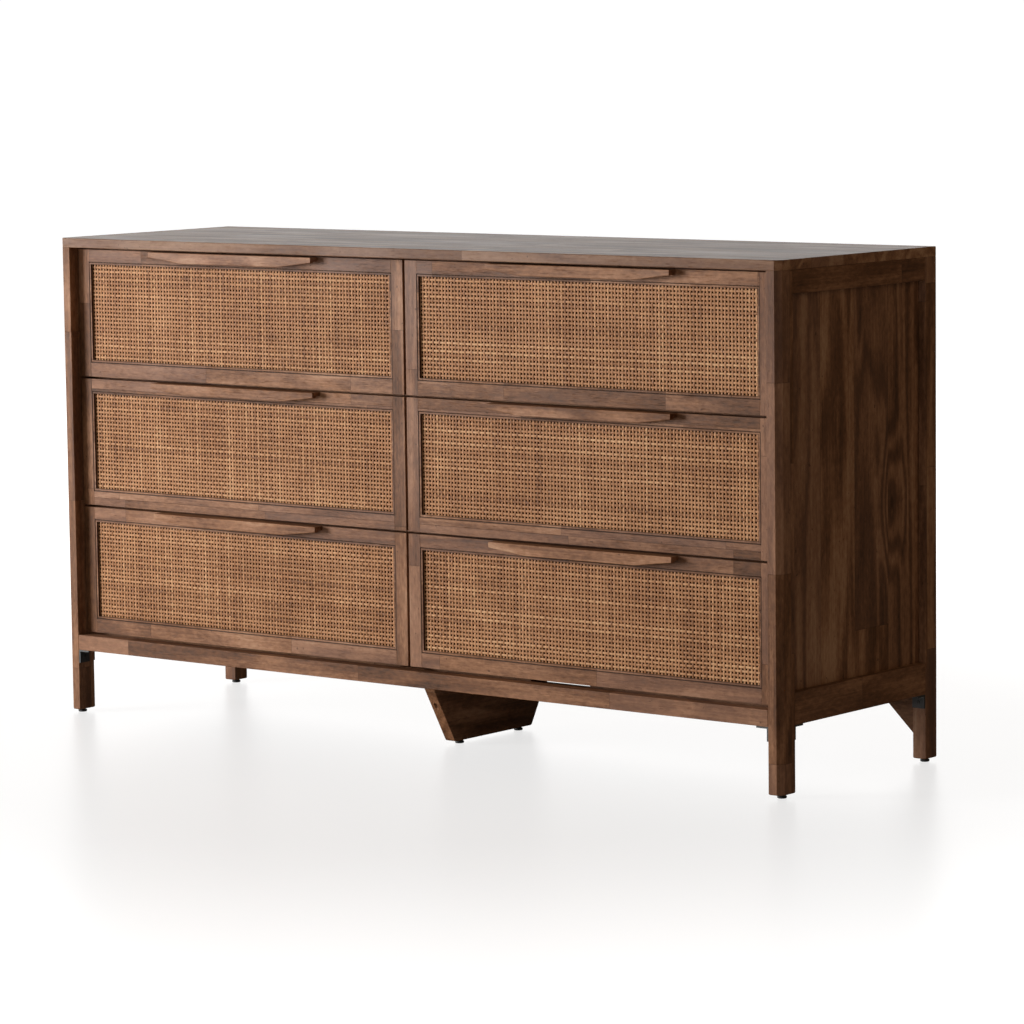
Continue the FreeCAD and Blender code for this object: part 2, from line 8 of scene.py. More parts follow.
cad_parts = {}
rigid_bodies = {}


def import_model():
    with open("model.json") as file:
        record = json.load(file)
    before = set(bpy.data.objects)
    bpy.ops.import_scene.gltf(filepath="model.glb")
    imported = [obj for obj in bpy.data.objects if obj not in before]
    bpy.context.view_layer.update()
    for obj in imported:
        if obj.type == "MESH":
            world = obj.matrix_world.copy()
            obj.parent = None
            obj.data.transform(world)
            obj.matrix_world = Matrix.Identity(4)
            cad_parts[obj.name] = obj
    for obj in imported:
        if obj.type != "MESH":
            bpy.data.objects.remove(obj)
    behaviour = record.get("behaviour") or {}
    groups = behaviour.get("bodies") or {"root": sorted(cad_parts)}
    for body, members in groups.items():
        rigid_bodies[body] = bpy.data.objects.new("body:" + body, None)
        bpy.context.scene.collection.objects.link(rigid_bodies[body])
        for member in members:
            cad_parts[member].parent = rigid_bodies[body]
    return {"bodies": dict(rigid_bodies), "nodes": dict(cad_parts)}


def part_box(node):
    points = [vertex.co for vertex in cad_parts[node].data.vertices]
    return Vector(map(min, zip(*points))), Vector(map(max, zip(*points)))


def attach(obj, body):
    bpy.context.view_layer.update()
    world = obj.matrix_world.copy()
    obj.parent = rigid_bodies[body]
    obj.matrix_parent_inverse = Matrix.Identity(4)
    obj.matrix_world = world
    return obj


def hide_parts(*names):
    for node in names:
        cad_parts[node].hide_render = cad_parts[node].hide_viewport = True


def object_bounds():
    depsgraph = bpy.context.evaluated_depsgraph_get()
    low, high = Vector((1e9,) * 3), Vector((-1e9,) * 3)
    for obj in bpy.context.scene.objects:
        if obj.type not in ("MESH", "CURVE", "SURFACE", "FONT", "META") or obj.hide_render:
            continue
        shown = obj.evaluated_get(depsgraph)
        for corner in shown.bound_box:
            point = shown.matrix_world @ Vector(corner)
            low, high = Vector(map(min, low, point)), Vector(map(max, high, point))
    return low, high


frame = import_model()
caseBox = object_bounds()
nodes = frame["nodes"]
drawerNames = [name for name in frame["bodies"] if name.startswith("drawer")]
drawerNames = [name for name in drawerNames if not name.endswith("runner")]
print("frame loaded:", len(nodes), "nodes,", len(drawerNames), "drawers")


# node trees are written as arithmetic
class Wire:
    # one output socket; sums and products of wires add Math nodes to the tree
    def __init__(self, tree, socket):
        self.tree = tree
        self.socket = socket

    def __add__(self, other):
        return self.tree.maths("ADD", self, other)

    def __radd__(self, other):
        return self.tree.maths("ADD", other, self)

    def __sub__(self, other):
        return self.tree.maths("SUBTRACT", self, other)

    def __rsub__(self, other):
        return self.tree.maths("SUBTRACT", other, self)

    def __mul__(self, other):
        return self.tree.maths("MULTIPLY", self, other)

    def __rmul__(self, other):
        return self.tree.maths("MULTIPLY", other, self)

    def __truediv__(self, other):
        return self.tree.maths("DIVIDE", self, other)

    def __rtruediv__(self, other):
        return self.tree.maths("DIVIDE", other, self)

    def __lt__(self, other):
        return self.tree.maths("LESS_THAN", self, other)

    def __gt__(self, other):
        return self.tree.maths("GREATER_THAN", self, other)

    def __abs__(self):
        return self.tree.maths("ABSOLUTE", self)


class Tree:
    def __init__(self, nodeTree):
        self.nodeTree = nodeTree

    def node(self, kind, settings=None, values=None, output=0):
        made = self.nodeTree.nodes.new(kind)
        for key, setting in (settings or {}).items():
            if key == "stops":
                self.setStops(made.color_ramp, setting)
            else:
                setattr(made, key, setting)
        for key, value in (values or {}).items():
            if isinstance(value, Wire):
                self.nodeTree.links.new(value.socket, made.inputs[key])
            else:
                made.inputs[key].default_value = value
        return Wire(self, made.outputs[output]) if made.outputs else made

    def setStops(self, ramp, stops):
        while len(ramp.elements) < len(stops):
            ramp.elements.new(1.0)
        for element, (position, colour) in zip(ramp.elements, stops):
            element.position = position
            element.color = (*colour, 1.0)

    def maths(self, operation, first, second=0.0):
        return self.node("ShaderNodeMath", {"operation": operation}, {0: first, 1: second})

    def vector(self, operation, first, second):
        return self.node("ShaderNodeVectorMath", {"operation": operation}, {0: first, 1: second})

    def combine(self, x, y, z):
        return self.node("ShaderNodeCombineXYZ", {}, {0: x, 1: y, 2: z})

    def split(self, vector):
        parts = self.node("ShaderNodeSeparateXYZ", {}, {0: vector}).socket.node
        return [Wire(self, output) for output in parts.outputs]

    def smooth(self, value, low, high):
        # 0 below low, 1 above high, eased in between; low may be the larger one
        settings = {"interpolation_type": "SMOOTHSTEP"}
        return self.node("ShaderNodeMapRange", settings, {0: value, 1: low, 2: high, 3: 0.0, 4: 1.0})

    def noise(self, vector, stretch, detail=2.0, roughness=0.5, warp=0.0):
        values = {"Vector": self.vector("MULTIPLY", vector, stretch), "Scale": 1.0}
        values.update({"Detail": detail, "Roughness": roughness, "Distortion": warp})
        return self.node("ShaderNodeTexNoise", {}, values)

    def draw(self, vector, output=0):
        # one random value, or three as a colour, for each place
        return self.node("ShaderNodeTexWhiteNoise", {}, {"Vector": vector}, output=output)

    def mix(self, factor, first, second):
        pair = [(*c, 1.0) if isinstance(c, tuple) else c for c in (first, second)]
        values = {0: factor, 6: pair[0], 7: pair[1]}
        return self.node("ShaderNodeMix", {"data_type": "RGBA"}, values, output=2)


class Finish(Tree):
    # a material's tree, with the shared starting point and the surface at its end
    def __init__(self, name):
        self.material = bpy.data.materials.new(name)
        self.material.use_nodes = True
        super().__init__(self.material.node_tree)
        self.nodeTree.nodes.clear()
        self.place = self.node("ShaderNodeTexCoord", output=3)

    def surface(self, colour, roughness, height, depth, fixed):
        bump = {"Strength": 1.0, "Distance": depth, "Height": height}
        values = {"Base Color": colour, "Roughness": roughness, **fixed}
        values["Normal"] = self.node("ShaderNodeBump", {}, bump)
        shader = self.node("ShaderNodeBsdfPrincipled", {}, values)
        self.node("ShaderNodeOutputMaterial", {}, {"Surface": shader})
        return self.material


# brown-washed wood; a tone from 0 to 1 runs through deep, brown, tan and pale
washedWood = {
    "deep": (0.040, 0.016, 0.0065),
    "brown": (0.140, 0.059, 0.0255),
    "tan": (0.255, 0.120, 0.058),
    "pale": (0.430, 0.250, 0.145),
    "mauve": (0.195, 0.108, 0.080),
    "brownTone": 0.36,
    "tanTone": 0.62,
    "tone": 0.445,
    "staveLength": 0.42,       # glued-up lengths along the grain
    "staveWidth": 0.100,
    "staveStart": 0.0,
    "staveTone": 0.10,
    "staveHue": 0.45,
    "glueLine": 0.0004,
    "glueStain": 0.45,
    "layerDepth": 0.5,         # faces this far apart are cut from other boards
    "courseShift": 7.0,
    "boardShift": (9.0, 7.0, 5.0),
    # noise scales along the grain, across it and into the board
    "figure": (1.5, 13.0, 13.0),
    "fibre": (6.0, 300.0, 300.0),
    "mottle": (70.0, 170.0, 170.0),
    "blotch": (5.0, 16.0, 16.0),
    "pores": (55.0, 750.0, 750.0),
    "specks": (120.0, 150.0, 150.0),
    # how far into each noise its marks begin and are full
    "poreRange": (0.62, 0.72),
    "speckRange": (0.74, 0.80),
    "speckStain": 0.6,
    "washRange": (0.35, 0.95),
    "washMix": 0.55,
    "knotScale": (1.9, 5.5),
    "knotSwirlEdge": 0.32,
    "knotCore": (0.035, 0.012),
    "knotStain": 0.85,
    "knots": 0.0,              # share of the cells that hold a knot
    "knotSwirl": 0.55,
    "ringCount": 5.0,
    "ringTone": 0.12,
    "fibreTone": 0.21,
    "mottleTone": 0.26,
    "blotchTone": 0.29,
    "poreTone": 0.10,
    "beadInner": 0.0042,       # from the edge of the cane opening to the inside of the bead
    "seamShadeReach": 0.0020,      # painted shade beside the bead
    "seamShadeCore": 0.0004,
    "seamShade": 0.72,
    "gloss": 0.52,
    "roughBy": {"mottle": 0.16, "blotch": 0.14, "pores": 0.1},
    "raisedBy": {"fibre": 0.5, "mottle": 0.35, "rings": 0.06},
    "sunkBy": {"pores": 0.7, "joint": 0.8},
    "coat": 0.035,             # lacquer, in soft patches
    "coatRange": (0.42, 0.68),
    "coatThin": 0.2,
    "coatThick": 2.0,
    "coatGloss": 0.3,
    "polishedAbove": 0.0,      # height above which the wood is polished, 0 for nowhere
    "polish": 0.24,
    "polishVary": 0.25,
    "shine": 0.12,
    "relief": 0.0003,
    "seed": 1.0,
}


def grainWays(grain, x, y, z, look):
    # distances along the grain, across it and into the board
    if grain == "frame":       # stiles run up, rails run across
        stile = abs(abs(x) - look["middle"]) > look["stileInner"]
        return x + (z - x) * stile, z + (x - z) * stile, y
    if grain == "tray":        # the two sides run front to back, the rest lengthways
        sideWall = abs(abs(x) - look["middle"]) > look["stileInner"]
        return x + (y - x) * sideWall, z, y + (x - y) * sideWall
    return {"x": (x, y, z), "y": (y, z, x), "z": (z, y, x), "xFace": (x, z, y)}[grain]


def knotParts(wood, along, across, look):
    # the swirl round each knot and its dark core
    alongScale, acrossScale = look["knotScale"]
    cellPlace = wood.combine(along * alongScale, across * acrossScale, 0.0)
    settings, values = {"voronoi_dimensions": "2D"}, {"Vector": cellPlace, "Scale": 1.0}
    fromKnot = wood.node("ShaderNodeTexVoronoi", settings, values)
    cellColour = wood.node("ShaderNodeTexVoronoi", settings, values, output=1)
    chosen = wood.split(cellColour)[0] > 1.0 - look["knots"]
    swirl = wood.smooth(fromKnot, look["knotSwirlEdge"], 0.0) * chosen
    return swirl, wood.smooth(fromKnot, *look["knotCore"]) * chosen


def beadSeamShade(wood, x, z, look):
    # painted shade: darkens the frame on both sides of the bead round the cane, in the seams where shade
    # falls
    rise = wood.maths("FRACT", (z - look["firstDrawer"]) / look["drawerStep"]) * look["drawerStep"]
    sideways = abs(abs(x) - look["middle"]) - look["openingWidth"] / 2
    upright = abs(rise - look["openingMiddle"]) - look["openingHeight"] / 2
    clear = wood.maths("MAXIMUM", sideways, upright)
    outerSeam = wood.smooth(abs(clear), look["seamShadeReach"], look["seamShadeCore"])
    innerSeam = wood.smooth(clear, look["seamShadeReach"] / 2 - look["beadInner"], -look["beadInner"])
    return wood.maths("MAXIMUM", outerSeam, innerSeam) * look["seamShade"]


def woodFinish(name, grain, **changes):
    look = {**washedWood, **changes}
    wood = Finish(name)
    x, y, z = wood.split(wood.place)
    along, across, depth = grainWays(grain, x, y, z, look)

    # each glued-up stave gets its own tone, hue and piece of figure
    rows = (across - look["staveStart"]) / look["staveWidth"]
    row = wood.maths("FLOOR", rows)
    layer = wood.maths("FLOOR", depth / look["layerDepth"])
    rowDraw = wood.draw(wood.combine(row, layer, look["seed"]))
    courses = along / look["staveLength"] + rowDraw * look["courseShift"]
    course = wood.maths("FLOOR", courses)
    draws = wood.draw(wood.combine(row, course, layer + look["seed"]), output=1)
    toneDraw, hueDraw, figureDraw = wood.split(draws)
    shifts = [draw * shift for draw, shift in zip((figureDraw, toneDraw, hueDraw), look["boardShift"])]
    board = wood.combine(along + shifts[0], across + shifts[1], depth + shifts[2])

    figure = wood.noise(board, look["figure"], 2.0, 0.45, 0.5)
    if look["knots"]:
        swirl, core = knotParts(wood, along, across, look)
        figure = figure + swirl * look["knotSwirl"]
    rings = wood.maths("SINE", figure * (look["ringCount"] * 2.0 * math.pi))
    fibre = wood.noise(board, look["fibre"], 3.0, 0.6)
    mottle = wood.noise(board, look["mottle"], 2.0, 0.6)
    blotch = wood.noise(board, look["blotch"], 2.0, 0.5)
    pores = wood.smooth(wood.noise(board, look["pores"], 1.0, 0.5), *look["poreRange"])
    specks = wood.smooth(wood.noise(board, look["specks"], 1.0, 0.4), *look["speckRange"])

    tone = look["tone"] + rings * look["ringTone"] + (fibre - 0.5) * (look["fibreTone"] * 2.0)
    tone = tone + (mottle - 0.5) * (look["mottleTone"] * 2.0) + (blotch - 0.5) * (look["blotchTone"] * 2.0)
    tone = tone + (toneDraw - 0.5) * (look["staveTone"] * 2.0) - pores * look["poreTone"]
    stops = [(0.0, look["deep"]), (look["brownTone"], look["brown"])]
    stops += [(look["tanTone"], look["tan"]), (1.0, look["pale"])]
    colour = wood.node("ShaderNodeValToRGB", {"stops": stops}, {0: tone})
    wash = wood.smooth(hueDraw, *look["washRange"]) * look["staveHue"]
    colour = wood.mix(wash, colour, wood.mix(look["washMix"], colour, look["mauve"]))
    colour = wood.mix(specks * look["speckStain"], colour, look["deep"])
    if look["knots"]:
        colour = wood.mix(core * look["knotStain"], colour, look["deep"])
    if grain == "frame":
        # painted shade in the seams on both sides of the bead
        colour = wood.mix(beadSeamShade(wood, x, z, look), colour, look["deep"])

    # thin glue lines between staves
    fromRow = abs(wood.maths("FRACT", rows) - 0.5)
    fromCourse = abs(wood.maths("FRACT", courses) - 0.5)
    jointAcross = fromRow > 0.5 - look["glueLine"] / look["staveWidth"]
    jointAlong = fromCourse > 0.5 - look["glueLine"] / look["staveLength"]
    joint = wood.maths("MAXIMUM", jointAcross, jointAlong)
    colour = wood.mix(joint * look["glueStain"], colour, look["deep"])

    rough, raised, sunk = look["roughBy"], look["raisedBy"], look["sunkBy"]
    roughness = look["gloss"] + (mottle - 0.5) * rough["mottle"] + (blotch - 0.5) * rough["blotch"]
    roughness = roughness + pores * rough["pores"]
    height = fibre * raised["fibre"] + mottle * raised["mottle"] - pores * sunk["pores"]
    height = height - joint * sunk["joint"] + rings * raised["rings"]
    shader = {"Specular IOR Level": look["shine"], "Coat Roughness": look["coatGloss"]}
    if look["coat"]:
        patches = look["coatThin"] + wood.smooth(blotch, *look["coatRange"]) * look["coatThick"]
        shader["Coat Weight"] = look["coat"] * (patches + (mottle - 0.5))
    if look["polishedAbove"]:  # the upper face is rubbed to a low sheen
        rubbed = (z > look["polishedAbove"]) * (look["polish"] + (blotch - 0.5) * look["polishVary"])
        shader["Coat Weight"] = shader.get("Coat Weight", 0.0) + rubbed
    return wood.surface(colour, roughness, height, look["relief"], shader)


topLook = {
    "staveLength": 0.72,
    "staveWidth": 0.092,       # five staves from front to back
    "staveStart": -0.23,
    "staveTone": 0.15,
    # lighter tone than the other boards: painted light, standing in for the lamp light that the low lamps
    # barely give the top
    "tone": 0.66,
    "ringTone": 0.15,
    "shine": 0.16,
    "polishedAbove": caseBox[1].z - 0.0006,
    "seed": 9.0,
}

sideLook = {
    "staveLength": 3.0,        # much longer than the panel, so few of its boards are joined
    "staveWidth": 0.0995,
    "staveStart": -0.196,
    "staveTone": 0.07,
    "blotchTone": 0.34,
    "ringTone": 0.19,
    "knots": 0.25,
    "seed": 11.0,
}

# drawer fronts, from the sizes of one front and one cane opening
lowLeft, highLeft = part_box("drawer_top_left_front_frame")
lowCane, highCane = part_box("drawer_bottom_left_cane_panel")
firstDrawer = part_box("drawer_bottom_left_front_frame")[0].z
frontMiddle = abs(lowLeft.x + highLeft.x) / 2
frontLook = {
    "tone": 0.42,
    "staveLength": 0.34,
    "middle": frontMiddle,
    "stileInner": (highLeft.x - lowLeft.x) / 2 - 0.026,      # stiles are 26 mm wide
    "firstDrawer": firstDrawer,
    "drawerStep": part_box("drawer_middle_left_front_frame")[0].z - firstDrawer,
    "openingWidth": highCane.x - lowCane.x,
    "openingHeight": highCane.z - lowCane.z,
    "openingMiddle": (lowCane.z + highCane.z) / 2 - firstDrawer,
    "seed": 13.0,
}

trayLow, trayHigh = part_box("drawer_top_left_tray")
trayLook = {
    "tone": 0.56,
    "coat": 0.0,
    "gloss": 0.6,
    "middle": frontMiddle,
    "stileInner": (trayHigh.x - trayLow.x) / 2 - 0.0152,     # just inside the tray's sides
    "seed": 17.0,
}

backLook = {
    "staveLength": 4.0,
    "staveWidth": 1.0,
    "staveStart": -0.2,
    "tone": 0.3,
    "coat": 0.0,
    "gloss": 0.65,
    "seed": 19.0,
}

boardUp = woodFinish("washed wood, upright", "z", staveLength=0.31, seed=3.0)
boardAcross = woodFinish("washed wood, lengthways", "xFace", staveLength=0.55, seed=5.0)
boardDeep = woodFinish("washed wood, front to back", "y", staveLength=0.6, seed=7.0)
topBoard = woodFinish("washed wood, top", "x", **topLook)
sideBoard = woodFinish("washed wood, side panel", "z", **sideLook)
frontBoard = woodFinish("washed wood, drawer front", "frame", **frontLook)
pullBoard = woodFinish("washed wood, pull", "xFace", staveLength=2.0, tone=0.5, seed=15.0)
trayBoard = woodFinish("pale wood, tray", "tray", **trayLook)
backBoard = woodFinish("stained ply, back", "xFace", **backLook)


# metal and nylon
runnerLook = {
    "colour": (0.52, 0.53, 0.54),
    "worn": (0.38, 0.38, 0.37),
    "roughness": 0.34,
    "metallic": 1.0,
    "grain": (900.0, 20.0, 900.0),     # drawn along the runner
}

bracketLook = {
    "colour": (0.012, 0.011, 0.010),
    "worn": (0.030, 0.027, 0.025),
    "roughness": 0.5,
    "metallic": 0.0,
    "grain": (1500.0, 1500.0, 1500.0),
}

screwLook = {
    "colour": (0.035, 0.033, 0.032),
    "worn": (0.10, 0.095, 0.09),
    "roughness": 0.38,
    "metallic": 1.0,
    "grain": (700.0, 700.0, 700.0),
}

glideLook = {
    "colour": (0.010, 0.010, 0.010),
    "worn": (0.020, 0.019, 0.018),
    "roughness": 0.55,
    "metallic": 0.0,
    "grain": (900.0, 900.0, 900.0),
}


# shared by all four
wearLook = {
    "cloud": (30.0, 30.0, 30.0),
    "cloudRange": (0.35, 0.75),
    "cloudRough": 0.12,
    "streakRough": 0.2,
    "relief": 0.00006,
}


def metalFinish(name, look):
    metal = Finish(name)
    streak = metal.noise(metal.place, look["grain"], 3.0, 0.6)
    cloud = metal.noise(metal.place, wearLook["cloud"], 3.0, 0.55)
    tint = metal.mix(metal.smooth(cloud, *wearLook["cloudRange"]), look["colour"], look["worn"])
    rough = look["roughness"] + (streak - 0.5) * wearLook["streakRough"]
    rough = rough + (cloud - 0.5) * wearLook["cloudRough"]
    return metal.surface(tint, rough, streak, wearLook["relief"], {"Metallic": look["metallic"]})


runnerSteel = metalFinish("zinc plated steel", runnerLook)
bracketSteel = metalFinish("black coated steel", bracketLook)
screwSteel = metalFinish("blackened screw steel", screwLook)
glideNylon = metalFinish("black nylon", glideLook)


# cane strands, each with a tint of its own, and the board behind them, painted near black as the shade seen
# through the holes
caneLook = {
    "brown": (0.150, 0.062, 0.026),
    "strand": (0.300, 0.135, 0.058),
    "honey": (0.430, 0.215, 0.100),
    "straw": (0.620, 0.370, 0.190),
    "oddness": 1.5,            # most strands are alike, a few pale or dark
    "tintTone": 0.12,
    "driftTone": 0.6,
    "streakTone": 0.4,
    "fineTone": 0.25,
    "drift": (9.0, 9.0, 9.0),
    "streak": (60.0, 60.0, 60.0),
    "fine": (700.0, 700.0, 700.0),
    "tones": (0.05, 0.38, 0.66, 1.0),     # where brown, strand, honey and straw stand
    "gloss": 0.42,
    "streakRough": 0.3,
    "shine": 0.12,
    "relief": 0.00012,
}

backingLook = {
    # the board's near-black colour is painted shade, seen through the holes in the weave
    "dark": (0.016, 0.007, 0.004),
    "worn": (0.045, 0.018, 0.008),
    "cloth": (260.0, 260.0, 900.0),
    "cloud": (12.0, 12.0, 12.0),
    "wearRange": (0.3, 0.75),
    "clothWear": 0.4,
    "clothRough": 0.2,
    "gloss": 0.8,
    "shine": 0.05,
    "relief": 0.0002,
}


def caneFinish(name):
    cane = Finish(name)
    tint = cane.node("ShaderNodeAttribute", {"attribute_name": "strandTint"}, output=2) - 0.5
    drift = cane.noise(cane.place, caneLook["drift"], 3.0, 0.6) - 0.5
    streak = cane.noise(cane.place, caneLook["streak"], 2.0, 0.6) - 0.5
    fine = cane.noise(cane.place, caneLook["fine"], 2.0, 0.6)
    tone = 0.5 + tint * tint * tint * caneLook["oddness"] + tint * caneLook["tintTone"]
    tone = tone + drift * caneLook["driftTone"] + streak * caneLook["streakTone"]
    tone = tone + (fine - 0.5) * caneLook["fineTone"]
    shades = [caneLook[shade] for shade in ("brown", "strand", "honey", "straw")]
    stops = list(zip(caneLook["tones"], shades))
    colour = cane.node("ShaderNodeValToRGB", {"stops": stops}, {0: tone})
    roughness = caneLook["gloss"] + streak * caneLook["streakRough"]
    shader = {"Specular IOR Level": caneLook["shine"]}
    return cane.surface(colour, roughness, fine, caneLook["relief"], shader)


def backingFinish(name):
    backing = Finish(name)
    cloth = backing.noise(backing.place, backingLook["cloth"], 2.0, 0.6)
    cloud = backing.noise(backing.place, backingLook["cloud"], 3.0, 0.55)
    wear = backing.smooth(cloud + (cloth - 0.5) * backingLook["clothWear"], *backingLook["wearRange"])
    colour = backing.mix(wear, backingLook["dark"], backingLook["worn"])
    roughness = backingLook["gloss"] + (cloth - 0.5) * backingLook["clothRough"]
    shader = {"Specular IOR Level": backingLook["shine"]}
    return backing.surface(colour, roughness, cloth, backingLook["relief"], shader)


caneStrands = caneFinish("cane strands")
caneShadeBacking = backingFinish("backing darkened as painted shade")


# which finish each node gets
def finishFor(name):
    if name == "top_panel":
        return topBoard
    if name.startswith("side_panel") or name == "centre_partition":
        return sideBoard
    if "_leg_" in name and "brackets" not in name:
        return boardUp
    if name.startswith("side_") or name in ("bottom_stretcher", "centre_support"):
        return boardDeep
    if name.endswith("front_frame"):
        return frontBoard
    if name.endswith("_pull"):
        return pullBoard
    if name.endswith("_tray"):
        return trayBoard
    if name == "back_panel":
        return backBoard
    if "runner" in name:
        return runnerSteel
    hardware = {"leg_brackets": bracketSteel, "screws": screwSteel, "glides": glideNylon}
    return hardware.get(name, boardAcross)


for name, piece in nodes.items():
    piece.data.materials.clear()
    piece.data.materials.append(finishFor(name))
print("finishes laid on the case and drawers")


# woven cane: flat strands over and under each other, in metres
weaveLook = {
    "Pitch": 0.0070,
    "Strand Width": 0.0042,
    "Strand Thickness": 0.0009,
    "Lift": 0.00038,           # how far a strand rises over the one it crosses
    "Sway": 0.0009,            # how far a strand wanders sideways
}

caneFit = {
    "edgeGap": 0.001,          # between the weave and the opening, both sides together
    "frontGap": 0.0012,        # from the front of the opening to the middle of the weave
    "backingGap": 0.0040,
    "backingArris": 0.0008,
    "wander": 14.0,            # how quickly a strand wanders along its length
    "strandApart": 3.7,        # keeps each strand's wander its own
    "strandSides": 6,
    "strandDome": 0.58,
    "firstSeed": 100,
    "seedStep": 17,
}


def weaveTree():
    tree = bpy.data.node_groups.new("cane weave", "GeometryNodeTree")
    for label in ("Width", "Height", *weaveLook):
        tree.interface.new_socket(label, in_out="INPUT", socket_type="NodeSocketFloat")
    tree.interface.new_socket("Seed", in_out="INPUT", socket_type="NodeSocketInt")
    tree.interface.new_socket("Finish", in_out="INPUT", socket_type="NodeSocketMaterial")
    tree.interface.new_socket("Mesh", in_out="OUTPUT", socket_type="NodeSocketGeometry")
    weave = Tree(tree)
    entry = weave.node("NodeGroupInput").socket.node
    given = {socket.name: Wire(weave, socket) for socket in entry.outputs if socket.name}
    wide, tall, strand = given["Width"], given["Height"], given["Strand Width"]

    def store(geometry, name, value):
        settings = {"data_type": "FLOAT", "domain": "POINT"}
        values = {"Geometry": geometry, "Name": name, "Value": value}
        return weave.node("GeometryNodeStoreNamedAttribute", settings, values)

    def strandFamily(length, spread, turn, sign, seedStep):
        # parallel strands along local x, then turned in the plane
        # the first and last strands lie against the ends of the opening, the rest evenly between
        count = weave.maths("ROUND", (spread - strand) / given["Pitch"]) + 1.0
        crossings = weave.maths("ROUND", (length - strand) / given["Pitch"])
        spacing = (spread - strand) / (count - 1.0)
        step = (length - strand) / crossings
        start = weave.combine((length - strand + step) * -0.5, 0.0, 0.0)
        end = weave.combine((length - strand + step) * 0.5, 0.0, 0.0)
        line = weave.node("GeometryNodeCurvePrimitiveLine", {}, {"Start": start, "End": end})
        steps = crossings * 2.0 + 3.0
        line = weave.node("GeometryNodeResampleCurve", {}, {"Curve": line, "Count": steps})
        rungPlaces = {
            "Count": count,
            "Start Location": weave.combine(0.0, (spread - strand) * -0.5, 0.0),
            "Offset": weave.combine(0.0, spacing, 0.0),
        }
        rungs = weave.node("GeometryNodeMeshLine", {"mode": "OFFSET"}, rungPlaces)
        index = weave.node("GeometryNodeInputIndex")
        seed = given["Seed"] + seedStep
        limits = {2: 0.0, 3: 1.0, "ID": index, "Seed": seed}
        draw = weave.node("FunctionNodeRandomValue", {"data_type": "FLOAT"}, limits, output=1)
        rungs = store(rungs, "strandTint", draw)
        rungs = store(rungs, "strandNumber", index)
        strands = weave.node("GeometryNodeInstanceOnPoints", {}, {"Points": rungs, "Instance": line})
        strands = weave.node("GeometryNodeRealizeInstances", {}, {"Geometry": strands})
        if turn:
            values = {"Geometry": strands, "Rotation": weave.combine(0.0, 0.0, math.pi / 2)}
            strands = weave.node("GeometryNodeTransform", {}, values)

        # over one crossing and under the next, with a slow wander sideways
        x, y, z = weave.split(weave.node("GeometryNodeInputPosition"))
        stepX, stepY = (spacing, step) if turn else (step, spacing)
        waveX = weave.maths("COSINE", (x + (wide - strand) * 0.5) * math.pi / stepX)
        waveY = weave.maths("COSINE", (y + (tall - strand) * 0.5) * math.pi / stepY)
        lift = waveX * waveY * given["Lift"] * sign
        settings, values = {"data_type": "FLOAT"}, {"Name": "strandNumber"}
        number = weave.node("GeometryNodeInputNamedAttribute", settings, values)
        apart = number * caneFit["strandApart"] + seedStep
        own = weave.combine(x * caneFit["wander"], y * caneFit["wander"], apart)
        values = {"Vector": own, "W": seed, "Scale": 1.0, "Detail": 1.0}
        wander = weave.node("ShaderNodeTexNoise", {"noise_dimensions": "4D"}, values)
        sway = (wander - 0.5) * given["Sway"] * 2.0
        push = weave.combine(sway, 0.0, lift) if turn else weave.combine(0.0, sway, lift)
        strands = weave.node("GeometryNodeSetPosition", {}, {"Geometry": strands, "Offset": push})
        return weave.node("GeometryNodeSetCurveNormal", {"mode": "Z_UP"}, {"Curve": strands})

    rows = strandFamily(wide, tall, False, 1.0, 11)
    columns = strandFamily(tall, wide, True, -1.0, 47)
    both = weave.node("GeometryNodeJoinGeometry", {}, {"Geometry": rows})
    tree.links.new(columns.socket, both.socket.node.inputs["Geometry"])

    # a flat strip with domed faces
    circle = {"Resolution": caneFit["strandSides"], "Radius": 1.0}
    ring = weave.node("GeometryNodeCurvePrimitiveCircle", {"mode": "RADIUS"}, circle)
    half = weave.combine(strand * 0.5, given["Strand Thickness"] * caneFit["strandDome"], 1.0)
    ring = weave.node("GeometryNodeTransform", {}, {"Geometry": ring, "Scale": half})
    sweep = {"Curve": both, "Profile Curve": ring, "Fill Caps": True}
    strips = weave.node("GeometryNodeCurveToMesh", {}, sweep)
    strips = weave.node("GeometryNodeSetShadeSmooth", {}, {"Geometry": strips, "Shade Smooth": True})
    strips = weave.node("GeometryNodeRealizeInstances", {}, {"Geometry": strips})
    strips = weave.node("GeometryNodeSetMaterial", {}, {"Geometry": strips, "Material": given["Finish"]})
    weave.node("NodeGroupOutput", {}, {"Mesh": strips})
    return tree


caneWeave = weaveTree()


def meshFromTree(name, tree, settings, base=None):
    # runs a tree on a mesh of starting points, or on nothing, and keeps the result as a plain mesh object
    holder = bpy.data.objects.new(name + " holder", base or bpy.data.meshes.new(name + " holder"))
    bpy.context.scene.collection.objects.link(holder)
    modifier = holder.modifiers.new("tree", "NODES")
    modifier.node_group = tree
    for item in tree.interface.items_tree:
        if item.in_out == "INPUT" and item.name in settings:
            modifier[item.identifier] = settings[item.name]
    bpy.context.view_layer.update()
    depsgraph = bpy.context.evaluated_depsgraph_get()
    shaped = holder.evaluated_get(depsgraph)
    mesh = bpy.data.meshes.new_from_object(shaped, preserve_all_data_layers=True, depsgraph=depsgraph)
    bpy.data.objects.remove(holder)
    mesh.name = name
    made = bpy.data.objects.new(name, mesh)
    bpy.context.scene.collection.objects.link(made)
    return made


def backingBoard(low, high):
    # thin board let into the frame behind the weave, with its arrises taken off
    shape = bmesh.new()
    place = Matrix.Translation((low + high) / 2) @ Matrix.Diagonal((*(high - low), 1.0))
    bmesh.ops.create_cube(shape, size=1.0, matrix=place)
    arris = caneFit["backingArris"]
    bmesh.ops.bevel(shape, geom=shape.edges[:], offset=arris, segments=1, affect="EDGES", profile=0.5)
    bmesh.ops.recalc_face_normals(shape, faces=shape.faces[:])
    return shape


